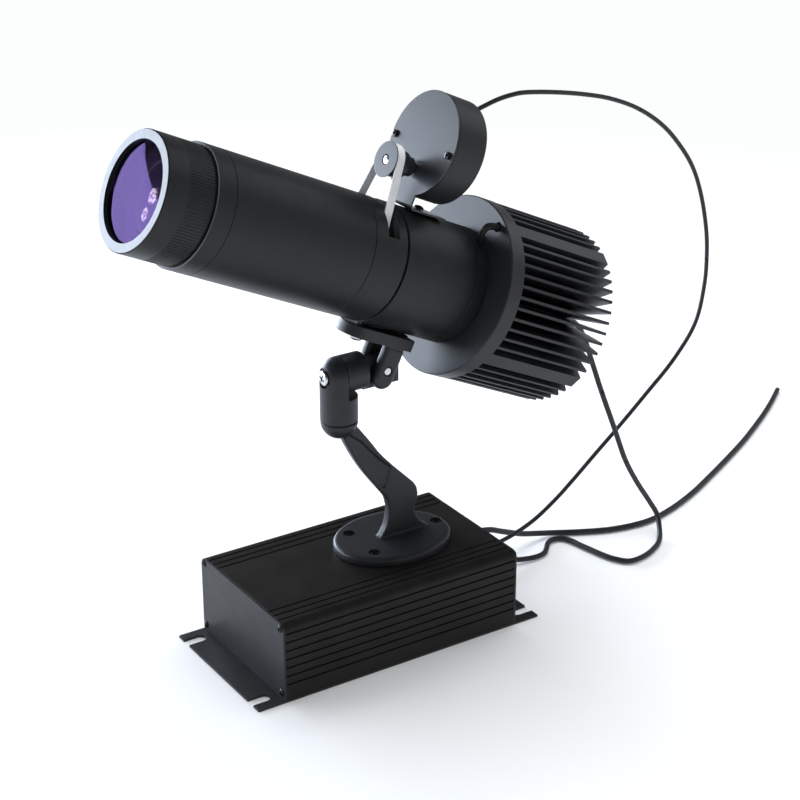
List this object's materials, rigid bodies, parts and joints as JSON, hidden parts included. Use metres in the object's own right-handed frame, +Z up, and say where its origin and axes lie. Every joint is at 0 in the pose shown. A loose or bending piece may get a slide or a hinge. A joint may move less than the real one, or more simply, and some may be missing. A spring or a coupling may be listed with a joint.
{
  "type": "gobo projector",
  "caption": "Gobo projector: lens barrel with a finned lamp housing and a belt-driven gobo wheel, on a pan, roll and tilt swivel over a flat driver box.",
  "frame": {"origin": "centre of the base plate's underside", "axes": "+Z up; -Y the way the lens points at pan 0; +X to the right seen from the lens side"},
  "size_m": [0.1818, 0.6198, 0.3368],
  "materials": {
    "black_anodised": "satin black anodised",
    "cast_black": "satin black paint over a light casting",
    "black_steel": "black screw finish",
    "bright_steel": "bright plated",
    "black_plastic": "matte black",
    "cable_sheath": "matte black sheath",
    "white_rubber": "matte white",
    "coated_glass": "purple anti-reflection coating",
    "clear_glass": "clear polished",
    "board_green": "solder mask",
    "transformer": "laminated core with varnished winding",
    "capacitor": "printed sleeve, no print",
    "led_board": "light source on a metal-core board",
    "motor_core": "coil, rotor and gears as one block"
  },
  "bodies": {
    "root": {"base_plate": "black_steel", "driver_shell": "black_anodised", "front_end_plate": "black_anodised", "rear_end_plate": "black_anodised", "front_plate_screw_1": "black_steel", "front_plate_screw_2": "black_steel", "front_plate_screw_3": "black_steel", "front_plate_screw_4": "black_steel", "mains_gland": "black_plastic", "lamp_grommet": "black_plastic", "motor_grommet": "black_plastic", "driver_board": "board_green", "driver_transformer": "transformer", "driver_capacitor": "capacitor", "foot_arm": "cast_black", "foot_screw_1": "black_steel", "foot_screw_2": "black_steel", "foot_screw_3": "black_steel", "mains_lead": "cable_sheath", "lamp_lead": "cable_sheath", "motor_lead": "cable_sheath"},
    "post": {"swivel_post": "cast_black", "pan_washer": "black_plastic"},
    "elbow": {"elbow_stub": "cast_black", "clamp_screw": "bright_steel"},
    "head": {"tilt_fork": "cast_black", "tilt_pin": "bright_steel", "saddle_screw_front": "bright_steel", "saddle_screw_rear": "black_steel", "nose_ring": "black_anodised", "main_tube": "black_anodised", "drive_ring": "black_anodised", "rear_tube": "black_anodised", "lamp_collar": "black_anodised", "heat_sink": "black_anodised", "led_module": "led_board", "condenser_mount": "black_anodised", "condenser_lens": "clear_glass", "gobo_bearing": "black_plastic", "motor_bracket": "black_anodised", "bracket_screw": "black_steel", "motor_housing": "black_steel", "motor_core": "motor_core", "motor_screw_left": "black_steel", "motor_screw_right": "black_steel", "motor_rear_grommet": "black_plastic", "bridge_wire": "black_plastic", "lamp_gland": "black_plastic", "drive_belt": "white_rubber"},
    "focus": {"focus_ring": "black_anodised", "front_lens": "coated_glass", "lens_retainer": "black_anodised"},
    "cell": {"lens_cell": "black_anodised", "inner_lens": "clear_glass"},
    "pulley": {"motor_shaft": "bright_steel", "motor_pulley": "black_anodised"},
    "gobo": {"gobo_ring": "black_plastic", "gobo_disc": "bright_steel", "gobo_clip": "black_steel"}
  },
  "joints": [
    {"name": "pan", "type": "hinge", "parent": "root", "child": "post", "pos_m": [-0.002, -0.0119, 0.144], "axis": [0, 0, 1], "range_deg": [-170, 170], "deforming": ["lamp_lead", "motor_lead"]},
    {"name": "roll", "type": "hinge", "parent": "post", "child": "elbow", "pos_m": [-0.002, -0.0119, 0.1724], "axis": [0, 1, 0], "range_deg": [-90, 90], "deforming": ["lamp_lead", "motor_lead"]},
    {"name": "tilt", "type": "hinge", "parent": "elbow", "child": "head", "pos_m": [-0.002, 0.01483, 0.1724], "axis": [-1, 0, 0], "range_deg": [-22, 35], "deforming": ["lamp_lead", "motor_lead"]},
    {"name": "focus_turn", "type": "hinge", "parent": "head", "child": "focus", "pos_m": [-0.002, -0.10598, 0.29227], "axis": [0, -0.9074, 0.4202], "range_deg": [-60, 60]},
    {"name": "lens_slide", "type": "slide", "parent": "head", "child": "cell", "axis": [0, -0.9074, 0.4202], "range_m": [-0.004, 0.004]},
    {"name": "gobo_turn", "type": "hinge", "parent": "head", "child": "gobo", "pos_m": [-0.002, -0.00009, 0.24323], "axis": [0, -0.9074, 0.4202], "continuous": true},
    {"name": "pulley_turn", "type": "hinge", "parent": "head", "child": "pulley", "pos_m": [-0.002, 0.02433, 0.29595], "axis": [0, -0.9074, 0.4202], "continuous": true}
  ],
  "couplings": [
    {"joint": "lens_slide", "follows": "focus_turn", "m_per_rad": 0.0038},
    {"joint": "pulley_turn", "follows": "gobo_turn", "ratio": 2.2371}
  ]
}
